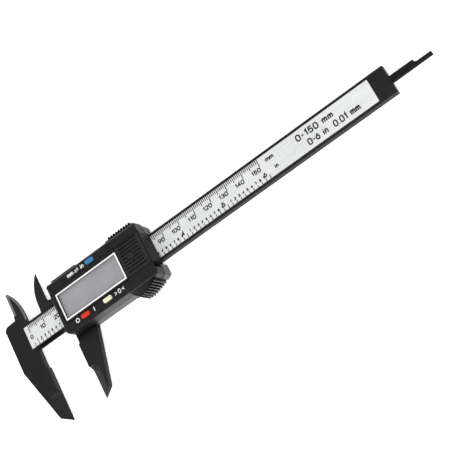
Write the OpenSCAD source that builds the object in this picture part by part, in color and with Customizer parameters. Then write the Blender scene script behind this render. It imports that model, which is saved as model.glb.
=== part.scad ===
// Digital caliper, 150 mm, moulded black plastic, shown 21.5 mm open.
// X runs along the beam from the fixed jaw to the depth rod, Y across it towards the inside jaws,
// Z out of the display. The origin is the zero plane of the fixed jaw, on the beam's centre line,
// at the beam's back face.

/* [Beam] */
// Beam width
beam_w = 15.2; // [15:0.1:15.6]
// Beam and jaw thickness
beam_t = 3.9; // [3.7:0.05:4.05]
// Beam length right of the zero plane
beam_end_x = 223.6; // [222:0.1:240]
// Depth of the pocket that holds the scale
pocket_depth = 0.7; // [0.6:0.05:0.8]
// Width of the scale label
label_w = 12.36; // [11.5:0.02:12.6]
// Bevel on the front edges of the beam and the jaws
edge_bevel = 0.3; // [0.2:0.05:0.6]

/* [Jaws] */
// Opening between the outside jaws
opening = 21.5; // [21:0.5:40]
// How far the outside jaws reach from the centre line
jaw_reach = 49.4; // [47:0.1:52]
// How far the inside jaws reach from the centre line
inside_reach = 29; // [27:0.1:31]
// Width of the knife bevel at the tips of the outside jaws
knife_w = 5.3; // [4.5:0.1:5.6]

/* [Slider] */
// Thickness of the slider body below its parting line
body_front = 4.8; // [4.7:0.05:5]
// Front face of the cover above the back face of the beam
cover_front = 11.8; // [11.6:0.05:12.6]
// Floor of the channel in the slider body
floor_t = 1.1; // [1:0.05:1.4]
// Thickness of the screwed back plate
back_plate_t = 1.2; // [1:0.05:1.6]
// Side clearance of the beam in its channel
slide_gap = 0.06; // [0.04:0.01:0.1]
// Slope of the ribbed front of the thumb grip
grip_slope = 22; // [16:1:30]
// Number of ribs on the side of the thumb grip
grip_ribs = 9; // [7:1:10]
// Number of grooves in the battery cover
cover_grooves = 9; // [6:1:10]

/* [Buttons] */
// Button cap length
button_l = 5.2; // [4.8:0.1:5.6]
// Button cap width
button_w = 2.25; // [2:0.05:3]
// Height of the button caps above the cover
button_up = 0.7; // [0.5:0.05:1]

/* [Depth rod] */
// Depth rod width
rod_w = 3.4; // [3:0.1:3.4]
// Depth rod thickness
rod_t = 2.1; // [1.8:0.05:2.2]
// How far the narrow nose of the rod goes back from its tip
rod_nose = 7.4; // [6:0.1:12]

/* [Hidden] */
eps = 0.01;
$fn = 48;

// levels above the back face of the beam
pocket_floor = beam_t - pocket_depth;
strip_t = 0.5;
label_t = 0.1;
mid_z = beam_t / 2;
mid_gap = 0.04;
channel_floor = -0.1;
body_back = channel_floor - floor_t;
rest_z = body_back - back_plate_t;
board_z = body_front - 0.5;
board_t = 1;
board_top = board_z + board_t;
wall = 1.4;
top_wall = 0.9;
front_wall = 1.5;
parting_h = 0.6;
parting_in = 0.6;
ceiling = cover_front - front_wall;
window_t = 0.95;
seat_gap = 0.14;
seat_bevel = 0.3;
window_z = cover_front - 0.05 - window_t;
lcd_t = 1.8;
lcd_z = ceiling - 0.1 - lcd_t;

// beam
half_w = beam_w / 2;
head_x = -14.2;
head_top = 12.3;
head_r = 3.2;
label_x0 = -3.5;
label_x1 = 214.35;
inside_x = -6.58;
inside_slope = 36;
inside_tip = 1.5;
fixed_reach = inside_reach - 1;
inside_bevel = 0.75;
relief = 0.85;
relief_y = -18.6;
knife_y = -35;
knife_r = 3.5;
knife_land = 0.35;
groove_x = 8;
rod_y = -0.03;
rod_gap = 0.12;
back_bevel = 0.1;
jaw_foot_x = -5.1;
jaw_foot_y = -(jaw_reach - 3.8);

// depth rod
rod_x0 = opening + 9.5;
rod_x1 = beam_end_x + opening + 0.6;
rod_z = 0.15;

// slider, positions along the beam move with the opening
sx = opening;
cover_x0 = sx + 0.95;
body_x0 = cover_x0;
slider_x1 = sx + 60;
end_in = 0.2;
end_out = 0.4;
end_slope = atan((end_in + end_out) / (cover_front - body_back));
cover_y0 = -14.95;
cover_y1 = 14.1;
body_y0 = -14.8;
body_y1 = 17.3;
ledge_y = 18.2;
grip_x = sx + 38.3;
win_x0 = sx + 3.2;
win_x1 = sx + 44.1;
win_y0 = -9.35;
win_y1 = 9.6;
view_x0 = sx + 4.75;
view_x1 = sx + 42.9;
view_y0 = -7.2;
view_y1 = 6.65;
bat_x0 = sx + 44.4;
bat_x1 = sx + 59.7;
bat_y0 = -8.75;
bat_y1 = 9.2;
rail_w = 0.9;
rail_t = 0.6;
tray_x0 = sx + 45;
tray_hw = 7.4;
tray_wall = 1.2;
tray_z = beam_t + 0.2;
tray_floor = 0.5;
cell_r = 5.8;
cell_t = 5.4;
cell_x = sx + 51.2;
cell_z = tray_z + tray_floor + 0.2;
contact_t = 0.2;
contact_x = tray_x0 + 0.25;

// buttons: x, y
units_at = [sx + 29.5, 11.45];
power_at = [sx + 15.1, -11.15];
zero_at = [sx + 29.6, -11.2];
buttons = [units_at, power_at, zero_at];
button_gap = 0.15;
flange_w = 0.6;
flange_side = 0.35;
flange_t = 0.6;
flange_z = ceiling - 0.75;
dome_h = 0.9;
dome_r = 1.5;

// screws: x, y
case_at = [[sx + 5.6, -11.4], [sx + 5.6, 11.2], [sx + 56.4, 11.4], [sx + 54.5, -12.3]];
board_at = [[sx + 10.6, 11.2], [sx + 41.2, 11.2], [sx + 22.4, -11.1], [sx + 40.6, -11.3]];
stop_at = [[beam_end_x - 9.2, -4.9], [beam_end_x - 9.2, 4.9]];
screw_r = 0.9;
screw_gap = 0.05;
boss_r = 2.1;

black = [0.07, 0.07, 0.075];
steel = [0.7, 0.7, 0.72];

module slab(pts, z0, z1) {
    translate([0, 0, z0]) linear_extrude(z1 - z0) polygon(pts);
}

module block(x0, x1, y0, y1, z0, z1) {
    translate([x0, y0, z0]) cube([x1 - x0, y1 - y0, z1 - z0]);
}

function arc(cx, cy, r, a0, a1, n) =
    [for (i = [0:n]) [cx + r * cos(a0 + (a1 - a0) * i / n), cy + r * sin(a0 + (a1 - a0) * i / n)]];

// quadratic curve through a and c, pulled towards b
function bow(a, b, c, n) =
    [for (i = [0:n]) let (t = i / n) (1 - t) * (1 - t) * a + 2 * t * (1 - t) * b + t * t * c];

function rounded(x0, x1, y0, y1, r) = concat(
    arc(x1 - r, y0 + r, r, -90, 0, 6), arc(x1 - r, y1 - r, r, 0, 90, 6),
    arc(x0 + r, y1 - r, r, 90, 180, 6), arc(x0 + r, y0 + r, r, 180, 270, 6));

// ridges of height d between p and q, n of them
function ribs(p, q, n, d) =
    let (u = (q - p) / norm(q - p), s = norm(q - p) / n, out = [u[1], -u[0]])
    [for (i = [0:n - 1]) each [
        p + u * s * (i + 0.05), p + u * s * (i + 0.3) + out * d,
        p + u * s * (i + 0.65) + out * d, p + u * s * (i + 0.9)]];

// cuts a 45 degree bevel c along each edge of an open line that has the material on its left
module bevel_line(pts, z, c, back = false) {
    for (i = [0:len(pts) - 2]) {
        p = pts[i];
        q = pts[i + 1];
        long = norm(q - p);
        tip = back ? -1 : 1;
        translate([p[0], p[1], z])
            rotate([0, 0, atan2(q[1] - p[1], q[0] - p[0])])
                translate([-c / 3, 0, 0]) rotate([90, 0, 90]) linear_extrude(long + 2 * c / 3)
                    polygon([[-1, -tip * (c + 1)], [-1, tip], [c + 1, tip]]);
    }
}

// ---------- beam with the fixed jaws ----------

inside_edge = bow([0.35, 9.5], [0.9, 21], [inside_x + inside_tip, fixed_reach], 14);
head_outline = concat(
    [[head_x, -14.5], [jaw_foot_x, jaw_foot_y], [0, -jaw_reach], [0, relief_y - 0.4],
        [-relief, relief_y + 0.3], [-relief, -half_w + eps], [2, -half_w + eps],
        [2, half_w - eps], [0.35, half_w - eps]],
    inside_edge,
    [[inside_x, fixed_reach], [inside_x, 15.4], [-5.9, 13.9], [-6.3, head_top + 0.3], [-11.9, head_top]],
    arc(head_x + head_r, head_top - head_r, head_r, 90, 180, 8));

// knife bevel of an outside jaw, falling towards +X
module knife_cut() {
    slope = atan2(beam_t - knife_land, knife_w);
    translate([0, knife_y, knife_land]) rotate([0, slope, 0]) {
        translate([-12, -20, 0]) cube([24, 20 + eps, 9]);
        translate([-12, 0, knife_r]) rotate([0, 90, 0]) cylinder(h = 24, r = knife_r, $fn = 64);
    }
}

module beam() color(black) difference() {
    union() {
        slab(head_outline, 0, beam_t);
        block(-relief - 3, beam_end_x, -half_w, half_w, 0, beam_t);
    }
    // back half of the head is open for the moving inside jaw
    block(head_x - 1, 1, half_w - 0.05, inside_reach + 2, -1, mid_z + mid_gap);
    block(label_x0, label_x1, -label_w / 2 - 0.08, label_w / 2 + 0.08, pocket_floor, beam_t + 1);
    block(groove_x, beam_end_x + 1, rod_y - rod_w / 2 - rod_gap, rod_y + rod_w / 2 + rod_gap,
        -1, rod_z + rod_t + rod_gap);
    knife_cut();
    translate([inside_x, 14.6, mid_z + 0.15]) rotate([0, -inside_slope, 0])
        translate([-6, 0, 0]) cube([14, 20, 6]);
    // the groove opens out at the end of the beam
    block(beam_end_x - 6, beam_end_x + 1, rod_y - rod_w / 2 - rod_gap, rod_y + rod_w / 2 + rod_gap,
        0, pocket_floor);
    bevel_line([[-relief, -half_w], [beam_end_x, -half_w], [beam_end_x, half_w]], beam_t, edge_bevel);
    bevel_line([[beam_end_x, half_w], [0.6, half_w]], beam_t, back_bevel);
    bevel_line([[0, knife_y + 2], [0, relief_y - 0.3]], beam_t, edge_bevel);
    bevel_line([[-relief, relief_y + 0.3], [-relief, -half_w - 0.3]], beam_t, edge_bevel);
    bevel_line(inside_edge, beam_t, inside_bevel);
    bevel_line([[-6.3, head_top + 0.3], [-11.9, head_top]], beam_t, edge_bevel);
    bevel_line([[head_x, head_top - head_r], [head_x, -14.5], [jaw_foot_x, jaw_foot_y]], beam_t, edge_bevel);
    bevel_line([[head_x, half_w], [head_x, -14.5], [jaw_foot_x, jaw_foot_y], [0, -jaw_reach]],
        0, back_bevel, true);
    bevel_line([[2, -half_w], [beam_end_x, -half_w], [beam_end_x, half_w], [0.6, half_w]],
        0, back_bevel, true);
    for (p = stop_at) translate([p[0], p[1], -1]) cylinder(h = 3, r = 0.75);
}

module scale_strip() color([0.75, 0.62, 0.3]) difference() {
    block(label_x0 + 0.05, label_x1 - 0.05, -label_w / 2, label_w / 2, pocket_floor, pocket_floor + strip_t);
    for (x = [label_x0 + 1.2, label_x1 - 1.2]) translate([x, 0, 0]) cylinder(h = 9, r = 0.4);
}

module scale_label() color([0.85, 0.86, 0.87])
    slab(rounded(label_x0 + 0.02, label_x1 - 0.02, -label_w / 2, label_w / 2, 0.3),
        pocket_floor + strip_t, pocket_floor + strip_t + label_t);

module end_stop() color(steel) difference() {
    slab(rounded(beam_end_x - 12.6, beam_end_x - 0.6, -half_w + 0.25, half_w - 0.25, 1), -0.8, 0);
    for (p = stop_at) translate([p[0], p[1], -1]) cylinder(h = 2, r = 0.85);
}

// pan head with a cross slot, head towards -Z; z is the seat of the head
module screw_up(r, long, head_r, head_t, z) {
    difference() {
        union() {
            translate([0, 0, z - eps]) cylinder(h = long + eps, r = r);
            translate([0, 0, z - head_t]) cylinder(h = head_t, r = head_r);
        }
        for (a = [0, 90]) rotate([0, 0, a])
            block(-head_r * 0.6, head_r * 0.6, -0.14, 0.14, z - head_t - 1, z - head_t * 0.45);
    }
}

module end_stop_screws() color(steel)
    for (p = stop_at) translate([p[0], p[1], 0]) screw_up(0.7, 2.4, 1.5, 0.6, -0.8);

// ---------- slider body with the moving jaws ----------

top_ribs_a = [sx + 55, 17.75];
top_ribs_b = [sx + 40.2, 17.75];
top_rib_h = 1.25;
grip_low = [sx + 42, -17.85];
grip_mid = [sx + 48.4, -18];
grip_high = [sx + 56.2, -15.75];
low_ribs = 4;
rib_h = 1.15;
end_r = 0.9;

grip_line = concat(
    [[grip_x, body_y0], [sx + 39.9, -17], [sx + 41.6, -18.6]],
    ribs(grip_low, grip_mid, low_ribs, rib_h),
    ribs(grip_mid, grip_high, grip_ribs - low_ribs, rib_h),
    [[sx + 57.6, -16]]);

body_outline = concat(
    [[body_x0, -13.1], [body_x0 + 1.7, body_y0]], grip_line,
    [[slider_x1 + end_out - end_r, body_y0 - 0.5], [slider_x1 + end_out, body_y0 + end_r - 0.5]],
    arc(slider_x1 + end_out - 2.2, 11.9, 2.2, 0, 50, 5), [[sx + 55.6, 17.95]],
    ribs(top_ribs_a, top_ribs_b, 9, top_rib_h),
    [[sx + 38.7, 18.05], [sx + 38.2, body_y1], [sx + 17.6, body_y1], [sx + 17.2, ledge_y],
        [body_x0 + 1, ledge_y], [body_x0, 17.2]]);

outside_jaw = [[sx, relief_y - 0.4], [sx, -jaw_reach],
    [sx + 5.2, -(jaw_reach - 3.6)], [sx + 5.75, -(jaw_reach - 4.6)],
    [sx + 13.8, -14.6], [sx + 15.4, -14], [sx + 15.4, -half_w - slide_gap],
    [sx + relief, -half_w - slide_gap], [sx + relief, relief_y + 0.3]];

inside_tip_x = sx + inside_x;
inside_curve = bow([inside_tip_x, inside_reach], [sx - 13.5, 21.5], [sx - 12.8, 10.5], 14);
inside_plate = concat(
    inside_curve,
    [[sx - 12.8, half_w + 0.1], [body_x0 + 3, half_w + 0.1], [body_x0 + 3, 11.6],
        [sx - 5.6, 11.6], [sx - 6.3, 12], [inside_tip_x, 12.8]]);

// takes away everything in front of the plane through p, as seen along n
module plane_cut(p, n)
    translate(p) rotate([0, acos(n[2] / norm(n)), atan2(n[1], n[0])])
        translate([-25, -25, 0]) cube([50, 50, 25]);

module grip_cuts(inset = 0) {
    // sloped front of the grip
    translate([sx + 30, cover_y0 + inset, cover_front]) rotate([grip_slope, 0, 0])
        translate([0, -12, 0]) cube([40, 12, 14]);
    // the left flank has two facets that meet in a slanted edge
    intersection() {
        translate([inset, inset, 0]) union() {
            plane_cut([sx + 41.3, -15, cover_front], [-0.79, -0.6, 0.11]);
            plane_cut([sx + 39.2, -14.6, body_back], [-0.651, -0.759, 0.013]);
        }
        block(sx + 30, sx + 70, -30, cover_y0, body_back - 1, cover_front + 1);
    }
}

// the right end leans out towards the back
module end_draft()
    translate([slider_x1 - end_in, -30, cover_front]) rotate([0, -end_slope, 0])
        translate([0, 0, -25]) cube([6, 60, 30]);

module slider_body() color(black) difference() {
    union() {
        difference() {
            slab(body_outline, body_back, body_front);
            grip_cuts();
            end_draft();
            bevel_line([[body_x0 + 1.7, body_y0], [grip_x, body_y0]], body_back, 0.3, true);
            bevel_line([[sx + 38.2, body_y1], [sx + 17.6, body_y1]], body_back, 0.3, true);
            bevel_line([[sx + 17.2, ledge_y], [body_x0 + 1, ledge_y]], body_front, 0.5);
        }
        difference() {
            slab(outside_jaw, 0, beam_t);
            translate([2 * sx, 0, 0]) mirror([1, 0, 0]) translate([sx, 0, 0]) knife_cut();
            bevel_line([[sx, relief_y - 0.3], [sx, knife_y + 2]], beam_t, edge_bevel);
            bevel_line([[sx + relief, -half_w], [sx + relief, relief_y + 0.3]], beam_t, edge_bevel);
            bevel_line([[sx + 5.2, -(jaw_reach - 3.6)], [sx + 5.75, -(jaw_reach - 4.6)], [sx + 13.8, -14.6]],
                beam_t, edge_bevel + 0.3);
        }
        difference() {
            slab(inside_plate, 0, mid_z - mid_gap);
            translate([inside_tip_x, 12.8, mid_z - 0.2]) rotate([0, -inside_slope, 0])
                translate([-8, -0.6, -6]) cube([14, 18, 6]);
            bevel_line(inside_curve, mid_z - mid_gap, 0.3);
        }
    }
    // channel for the beam, open to the front
    block(sx - 20, slider_x1 + 5, -half_w - slide_gap, half_w + slide_gap, channel_floor, body_front + 1);
    // room for the fixed inside jaw when the slider is closed
    block(sx - 20, body_x0 + 0.01, half_w - 1, inside_reach + 1, mid_z - mid_gap, body_front + 1);
    // corner beside the channel at the right end
    slab([[slider_x1 - 2.2, 1 - half_w], [slider_x1 + 2, 1 - half_w], [slider_x1 + 2, -half_w - 2.2],
        [slider_x1 - 0.6, -half_w - 1.6]], body_back - 1, body_front + 1);
    // seat of the circuit board
    block(sx + 8.8, sx + 43.2, -13.15, 13.15, board_z, body_front + 1);
    // slot of the gib spring
    block(sx + 9, sx + 50, -half_w - 0.75, -half_w, 0.7, 3.2);
    // slot of the depth rod's foot
    block(rod_x0 - 0.05, rod_x0 + 6.05, rod_y - rod_w / 2 - 0.05, rod_y + rod_w / 2 + 0.05, body_back - 1, 1);
    for (p = case_at) translate([p[0], p[1], body_back - 1]) cylinder(h = 9, r = screw_r + screw_gap);
    for (p = board_at) translate([p[0], p[1], board_z - 0.75]) cylinder(h = 3, r = 1.5);
}

module back_plate() color(black) difference() {
    slab(rounded(sx + 2.6, sx + 58.4, -13.6, 15.6, 2.4), rest_z, body_back);
    bevel_line([[sx + 5, -13.6], [sx + 56, -13.6]], rest_z, 0.4, true);
    bevel_line([[sx + 58.4, -11.2], [sx + 58.4, 13.2]], rest_z, 0.4, true);
    bevel_line([[sx + 56, 15.6], [sx + 5, 15.6]], rest_z, 0.4, true);
    bevel_line([[sx + 2.6, 13.2], [sx + 2.6, -11.2]], rest_z, 0.4, true);
    for (p = case_at) translate([p[0], p[1], 0]) {
        translate([0, 0, rest_z - 1]) cylinder(h = 1.8, r = 1.9);
        translate([0, 0, rest_z - 1]) cylinder(h = 5, r = screw_r + screw_gap);
    }
}

module case_screws() color(steel)
    for (p = case_at) translate([p[0], p[1], 0]) screw_up(screw_r, 10.4, 1.75, 0.7, rest_z + 0.8);

module gib_spring() color(steel) {
    mid = sx + 29.5;
    far = -half_w - 0.7;
    near = -half_w - 0.32;
    slab([[mid - 18, far], [mid - 2, near], [mid + 2, near], [mid + 18, far],
        [mid + 18, far + 0.2], [mid + 2, near + 0.2], [mid - 2, near + 0.2], [mid - 18, far + 0.2]],
        1, 2.9);
}

module depth_rod() color([0.1, 0.1, 0.105]) {
    y0 = rod_y - rod_w / 2;
    y1 = rod_y + rod_w / 2;
    nose_w = 1.6;
    step_r = 1.7;
    difference() {
        union() {
            slab(concat(
                [[rod_x0, y0], [rod_x1, y0], [rod_x1, y0 + nose_w], [rod_x1 - rod_nose, y0 + nose_w]],
                arc(rod_x1 - rod_nose, y0 + nose_w + step_r, step_r, 270, 180, 8),
                [[rod_x1 - rod_nose - step_r, y1], [rod_x0, y1]]), rod_z, rod_z + rod_t);
            block(rod_x0, rod_x0 + 6, y0, y1, body_back, rod_z + eps);
        }
        translate([rod_x0 + 3, rod_y, body_back]) {
            translate([0, 0, -1]) cylinder(h = 6, r = 0.75);
            translate([0, 0, -1]) cylinder(h = 1.6, r = 1.35);
        }
    }
}

module rod_screw() color(steel)
    translate([rod_x0 + 3, rod_y, 0]) screw_up(0.7, 1.8, 1.3, 0.55, body_back + 0.6);

// ---------- front cover ----------

cover_end = slider_x1 + end_out;
cover_outline = concat(
    [[cover_x0, -13.1], [cover_x0 + 1.9, cover_y0], [grip_x, cover_y0]],
    [for (i = [1:len(grip_line) - 1]) grip_line[i]],
    [[cover_end - end_r, body_y0 - 0.5], [cover_end, body_y0 + end_r - 0.5]],
    arc(cover_end - 0.9, cover_y1 - 0.7, 0.7, 0, 90, 4),
    arc(cover_x0 + 1.9, cover_y1 - 1.9, 1.9, 90, 180, 6));

// the parting line is a shallow groove all round, so the outline is drawn in at the bottom
mid_x = (cover_x0 + cover_end) / 2;
shrink_x = 1 - 2 * parting_in / (cover_end - cover_x0);
shrink_y = 1 - 2 * parting_in / (cover_y1 - cover_y0);
parting_outline = [for (p = cover_outline) [mid_x + (p[0] - mid_x) * shrink_x, p[1] * shrink_y]];

// wedge grooves that fan out over the sloped face from its right end
fan_n = 6;
notch_deep = 3;
module fan_grooves()
    translate([sx + 59.1, cover_y0 - 0.45, cover_front]) rotate([grip_slope, 0, 0])
        for (i = [0:fan_n - 1]) rotate([0, 0, 182.8 + i * 3.8])
            slab([[1.5, -0.05], [20, -0.38], [20, 0.38], [1.5, 0.05]], -0.75, 1);

module front_cover() color(black) difference() {
    union() {
        difference() {
            union() {
                slab(cover_outline, body_front + parting_h, cover_front);
                slab(parting_outline, body_front, body_front + parting_h + eps);
            }
            grip_cuts();
            end_draft();
            intersection() {
                grip_cuts(parting_in);
                block(sx + 30, sx + 60, -30, cover_y0 + 1, 0, body_front + parting_h);
            }
            intersection() {
                translate([-parting_in, 0, 0]) end_draft();
                block(sx + 50, sx + 70, -30, 30, 0, body_front + parting_h);
            }
            intersection() {
                fan_grooves();
                block(sx + 30, sx + 62, -30, cover_y0 - 0.15, 0, cover_front + 1);
            }
            bevel_line([[cover_x0, cover_y1 - 1.9], [cover_x0, -13.1], [cover_x0 + 1.9, cover_y0],
                [grip_x + 2.5, cover_y0]], cover_front, 0.5);
            bevel_line([[slider_x1 - end_in, cover_y0 + 1], [slider_x1 - end_in, cover_y1 - 0.7]],
                cover_front, 0.35);
            bevel_line([[slider_x1 - 0.9, cover_y1], [cover_x0 + 1.9, cover_y1]], cover_front, 0.5);
            // electronics room
            block(cover_x0 + wall, sx + 43.2, cover_y0 + wall + 0.2, cover_y1 - top_wall,
                body_front - 1, ceiling);
            // battery room
            block(tray_x0, slider_x1 + 1, -7.6, 8.2, body_front - 1, ceiling);
        }
        // bosses of the case screws and of the board screws
        for (p = case_at)
            translate([p[0], p[1], body_front]) cylinder(h = ceiling - body_front + eps, r = boss_r);
        for (p = board_at)
            translate([p[0], p[1], board_top]) cylinder(h = ceiling - board_top + eps, r = 1.5);
        // battery tray between the sides of the channel
        difference() {
            block(sx + 43.9, sx + 58.6, -tray_hw, tray_hw, tray_z, ceiling);
            block(tray_x0, sx + 57.5, -tray_hw + tray_wall, tray_hw - tray_wall,
                tray_z + tray_floor, ceiling + 1);
            block(sx + 57.4, sx + 59, -tray_hw + tray_wall, tray_hw - tray_wall, tray_z + 2.4, ceiling + 1);
        }
        block(sx + 43.9, tray_x0, -8.2, 8.6, body_front, ceiling);
        block(sx + 44.9, sx + 58.6, -8.2, -tray_hw + eps, body_front, ceiling);
        block(sx + 44.9, sx + 58.6, tray_hw - eps, 8.6, body_front, ceiling);
    }
    // window seat and the opening below it
    block(win_x0, win_x1, win_y0, win_y1, window_z, cover_front + 1);
    bevel_line([[win_x1, win_y0], [win_x0, win_y0], [win_x0, win_y1], [win_x1, win_y1],
        [win_x1, win_y0]], cover_front, seat_bevel);
    block(view_x0, view_x1, view_y0, view_y1, ceiling - 1, cover_front + 1);
    // opening and rail slots of the battery cover
    block(bat_x0, slider_x1 + 1, bat_y0, bat_y1, ceiling - eps, cover_front + 1);
    block(bat_x0, slider_x1 + 1, bat_y0 - rail_w, bat_y1 + rail_w, ceiling - eps, ceiling + rail_t + 0.15);
    block(sx + 58.5, slider_x1 + 1, bat_y0 + 0.1, 8.2, body_front - 1, cover_front + 1);
    // finger notch in the end wall, beside the battery cover
    translate([slider_x1 - notch_deep, 0, 0]) rotate([90, 0, 90])
        linear_extrude(9) polygon(rounded(-11.3, -8.8, body_front + 0.8, cover_front - 0.4, 1.1));
    // slots for the battery contacts
    block(sx + 43, sx + 46, -3.1, -0.9, board_top, board_top + 0.3);
    block(sx + 43, sx + 46, 1.9, 4.1, board_top, board_top + 0.3);
    for (p = case_at) translate([p[0], p[1], body_front - 1]) cylinder(h = 5.2, r = screw_r + screw_gap);
    for (p = board_at) translate([p[0], p[1], board_top - 1]) cylinder(h = 4.2, r = 0.65);
    for (p = buttons)
        slab(rounded(p[0] - button_l / 2 - button_gap, p[0] + button_l / 2 + button_gap,
            p[1] - button_w / 2 - button_gap, p[1] + button_w / 2 + button_gap, 0.9),
            ceiling - 1, cover_front + 1);
}

module display_window() color([0.6, 0.62, 0.65])
    slab(rounded(win_x0 + seat_gap, win_x1 - seat_gap, win_y0 + seat_gap, win_y1 - seat_gap, 0.4),
        window_z, window_z + window_t);

module lcd_glass() color([0.62, 0.63, 0.65]) {
    block(sx + 4.6, sx + 42.9, -8, 7.2, lcd_z, lcd_z + 0.9);
    block(sx + 4.6, sx + 42.9, -6.9, 7.2, lcd_z + 0.9 - eps, lcd_z + lcd_t);
}

module lcd_frame() color([0.85, 0.85, 0.82]) difference() {
    block(sx + 3.7, sx + 43.1, -9, 8.2, lcd_z - 2.9, ceiling - 0.15);
    block(sx + 4.5, sx + 43.2 + 1, -8.1, 7.3, lcd_z - 0.1, ceiling + 1);
    block(sx + 9.2, sx + 42.2, -8.1, 7.3, lcd_z - 4, ceiling + 1);
}

module zebra_strips() color([0.9, 0.6, 0.65])
    for (y = [-7.9, 5.4]) block(sx + 10, sx + 41.6, y, y + 1.7, board_top, lcd_z);

module main_board() color([0.1, 0.35, 0.15]) difference() {
    block(sx + 8.95, sx + 43.05, -13, 13, board_z, board_top);
    for (p = board_at) translate([p[0], p[1], 0]) cylinder(h = 9, r = 0.8);
}

module chip_cap() color([0.05, 0.05, 0.05]) intersection() {
    translate([sx + 24, -1.2, board_top - 5.4]) sphere(r = 7);
    translate([sx + 24, -1.2, board_top]) cylinder(h = 3, r = 4.2);
}

module capacitors() color([0.7, 0.6, 0.45])
    for (p = [[sx + 13, 2], [sx + 15.5, 2], [sx + 34, 1], [sx + 36.5, 1]])
        block(p[0], p[0] + 0.9, p[1], p[1] + 1.6, board_top, board_top + 0.8);

module board_screws() color(steel)
    for (p = board_at) translate([p[0], p[1], 0]) screw_up(0.6, 4, 1.25, 0.6, board_z);

module dome(at) color(steel) translate([at[0], at[1], board_top])
    rotate_extrude() polygon([[0, dome_h - 0.12], [0.7, dome_h - 0.12], [dome_r - 0.15, 0], [dome_r, 0],
        [dome_r, 0.1], [0.8, dome_h], [0, dome_h]]);

module dome_units() dome(units_at);
module dome_power() dome(power_at);
module dome_zero() dome(zero_at);

module button(at, paint) color(paint) {
    x = at[0];
    y = at[1];
    l = button_l / 2;
    w = button_w / 2;
    top = cover_front + button_up;
    difference() {
        slab(rounded(x - l, x + l, y - w, y + w, 0.75), flange_z + 0.5, top);
        bevel_line([[x - l + 0.5, y - w], [x + l - 0.5, y - w]], top, 0.2);
        bevel_line([[x + l - 0.5, y + w], [x - l + 0.5, y + w]], top, 0.2);
        bevel_line([[x + l, y - w + 0.5], [x + l, y + w - 0.5]], top, 0.2);
        bevel_line([[x - l, y + w - 0.5], [x - l, y - w + 0.5]], top, 0.2);
    }
    slab(rounded(x - l - flange_w, x + l + flange_w, y - w - flange_side, y + w + flange_side, 0.8),
        flange_z, flange_z + flange_t);
    translate([x, y, board_top + dome_h + 0.02]) cylinder(h = flange_z - board_top - dome_h, r = 0.7);
}

module button_units() button(units_at, [0.12, 0.42, 0.72]);
module button_power() button(power_at, [0.85, 0.13, 0.08]);
module button_zero() button(zero_at, [0.93, 0.92, 0.72]);

// ---------- battery and its cover ----------

module battery() color(steel) difference() {
    translate([cell_x, 0, cell_z]) union() {
        cylinder(h = 0.9, r = cell_r - 0.9);
        translate([0, 0, 0.4]) cylinder(h = cell_t - 0.4, r = cell_r);
    }
    translate([cell_x, 0, cell_z + cell_t - 0.12]) difference() {
        cylinder(h = 1, r = cell_r - 0.5);
        translate([0, 0, -1]) cylinder(h = 3, r = cell_r - 0.8);
    }
}

module contact_positive() color(steel) {
    block(sx + 42, contact_x, 2, 4, board_top, board_top + contact_t);
    block(contact_x - contact_t, contact_x, -0.6, 4, board_top, ceiling - 0.6);
}

module contact_negative() color(steel) {
    floor_z = tray_z + tray_floor;
    block(sx + 42, contact_x, -3, -1, board_top, board_top + contact_t);
    block(contact_x - contact_t, contact_x, -3, -1, floor_z, board_top + contact_t);
    block(contact_x - contact_t, cell_x + 4, -3, -1, floor_z, floor_z + contact_t);
}

// block arrow, k times the size of the raised one
function arrow(k) = [for (p = [[-2, -0.7], [0, -0.7], [0, -2.1], [2.1, 0], [0, 2.1], [0, 0.7], [-2, 0.7]])
    [sx + 51 + p[0] * k, 0.3 + p[1] * k]];

door_y0 = bat_y0 + 0.3;
door_y1 = bat_y1 - 0.3;
lip_x0 = sx + 58.8;
groove_w = 0.75;
groove_d = 0.6;
groove_y0 = -6.35;
groove_y1 = 8.2;

// end wall of the battery cover between two distances across, from z0 up
module end_lip(y0, y1, z0, z1) intersection() {
    block(lip_x0, sx + 70, y0, y1, z0, z1);
    translate([0, y1, 0]) rotate([90, 0, 0]) linear_extrude(y1 - y0)
        polygon([[lip_x0, tray_z], [slider_x1 + 1.3, tray_z], [slider_x1 + 0.05, cover_front],
            [lip_x0, cover_front]]);
}

module battery_cover() color(black) difference() {
    union() {
        block(bat_x0 + 0.1, lip_x0 + eps, door_y0, door_y1, ceiling + 0.1, cover_front);
        block(bat_x0 + 0.1, sx + 58, bat_y0 - rail_w + 0.1, bat_y1 + rail_w - 0.1,
            ceiling + 0.1, ceiling + rail_t);
        end_lip(door_y0, door_y1, ceiling + 0.1, cover_front);
        end_lip(door_y0, 8.05, body_front + 0.1, ceiling + 0.2);
        end_lip(-7.5, 7.5, tray_z + 0.1, body_front + 0.2);
    }
    // line across the end
    block(slider_x1 - 0.55, slider_x1 - 0.2, -20, 20, cover_front - 0.5, cover_front + 1);
    difference() {
        // grooves for the thumb, every second one a little shorter
        for (i = [0:cover_grooves - 1]) {
            y = groove_y0 + i * (groove_y1 - groove_y0) / (cover_grooves - 1);
            block(sx + 45.9, sx + 57.6 - 0.8 * (i % 2), y - groove_w / 2, y + groove_w / 2,
                cover_front - groove_d, cover_front + 1);
        }
        slab(arrow(1.35), 0, cover_front + 2);
    }
    // raised arrow in a sunk field
    difference() {
        slab(arrow(1.35), cover_front - 0.4, cover_front + 1);
        slab(arrow(1), 0, cover_front + 2);
    }
}

beam();
scale_strip();
scale_label();
end_stop();
end_stop_screws();
slider_body();
front_cover();
back_plate();
case_screws();
gib_spring();
depth_rod();
rod_screw();
display_window();
lcd_glass();
lcd_frame();
zebra_strips();
main_board();
chip_cap();
capacitors();
board_screws();
dome_units();
dome_power();
dome_zero();
battery();
contact_positive();
contact_negative();
battery_cover();
button_units();
button_power();
button_zero();
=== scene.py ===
import math

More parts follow.
